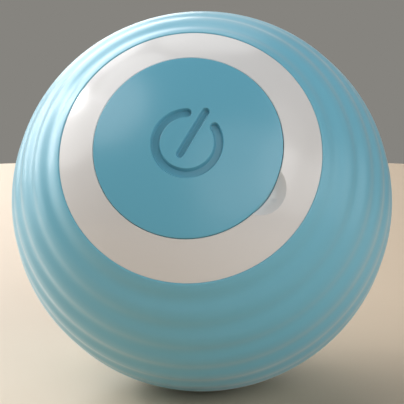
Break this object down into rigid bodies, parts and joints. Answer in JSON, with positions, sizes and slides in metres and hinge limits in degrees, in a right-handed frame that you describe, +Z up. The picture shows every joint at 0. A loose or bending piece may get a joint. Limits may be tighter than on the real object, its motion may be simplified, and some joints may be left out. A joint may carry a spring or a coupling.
{
  "type": "self-rolling cat ball",
  "caption": "Self-rolling ball for cats: ribbed silicone jacket, white ring, lift-off power cap, and a geared motor that swings a weight inside.",
  "frame": {"origin": "centre of the ball", "axes": "+Z up as the ball rests on the floor; -Y is the front, towards the power cap, whose axis points 26.3 degrees above -Y; +X to the right"},
  "size_m": [0.0428, 0.043, 0.043],
  "materials": {
    "silicone_blue": "matte silicone",
    "cap_blue": "matte, soft to the touch",
    "shell_white": "fine satin moulding",
    "board_green": "satin solder mask",
    "steel": "plain machined",
    "brass": "turned",
    "black_plastic": "matte",
    "stem_plastic": "smooth",
    "lamp_resin": "clear milky",
    "battery_foil": "satin foil pouch",
    "foam": "open foam",
    "gear_acetal": "waxy",
    "frame_grey": "fine matte moulding",
    "weight_iron": "cast, oiled"
  },
  "bodies": {
    "housing": {"grip_jacket": "silicone_blue", "front_shell": "shell_white", "rear_shell": "shell_white", "switch_base": "black_plastic", "circuit_board": "board_green", "board_screws": "steel", "usb_socket": "steel", "usb_tongue": "black_plastic", "status_leds": "lamp_resin", "control_chip": "black_plastic", "battery": "battery_foil", "battery_pad": "foam", "battery_tabs": "steel", "motor_can": "steel", "motor_end_cap": "black_plastic", "motor_terminals": "brass", "idler_pin": "steel", "front_bush": "brass", "rear_bush": "brass", "drive_frame": "frame_grey", "frame_screws": "steel", "gear_cover": "frame_grey", "cover_screws": "steel"},
    "pendulum": {"output_gear": "gear_acetal", "drive_axle": "steel", "pendulum_arm": "frame_grey", "counterweight": "weight_iron", "weight_screws": "steel", "thrust_washers": "steel"},
    "idler": {"idler_gear": "gear_acetal"},
    "motor_rotor": {"motor_shaft": "steel", "motor_pinion": "brass"},
    "power_button": {"switch_stem": "stem_plastic"},
    "cap": {"power_cap": "cap_blue"}
  },
  "joints": [
    {"name": "pendulum_spin", "type": "hinge", "parent": "housing", "child": "pendulum", "pos_m": [0, 0, 0], "axis": [0, -0.8965, 0.4431], "continuous": true},
    {"name": "idler_spin", "type": "hinge", "parent": "housing", "child": "idler", "pos_m": [0.00728, 0.0012, -0.0066], "axis": [0, -0.8965, 0.4431], "continuous": true},
    {"name": "motor_spin", "type": "hinge", "parent": "housing", "child": "motor_rotor", "pos_m": [0, -0.00149, -0.00752], "axis": [0, -0.8965, 0.4431], "continuous": true},
    {"name": "power_press", "type": "slide", "parent": "housing", "child": "power_button", "axis": [0, 0.8965, -0.4431], "range_m": [0, 0.0003], "stiffness_N_per_m": 1500, "springref_m": -0.0002},
    {"name": "cap_lift", "type": "slide", "parent": "power_button", "child": "cap", "axis": [0, -0.8965, 0.4431], "range_m": [0, 0.012]}
  ],
  "couplings": [
    {"joint": "idler_spin", "follows": "pendulum_spin", "ratio": -5},
    {"joint": "motor_spin", "follows": "pendulum_spin", "ratio": 20}
  ]
}
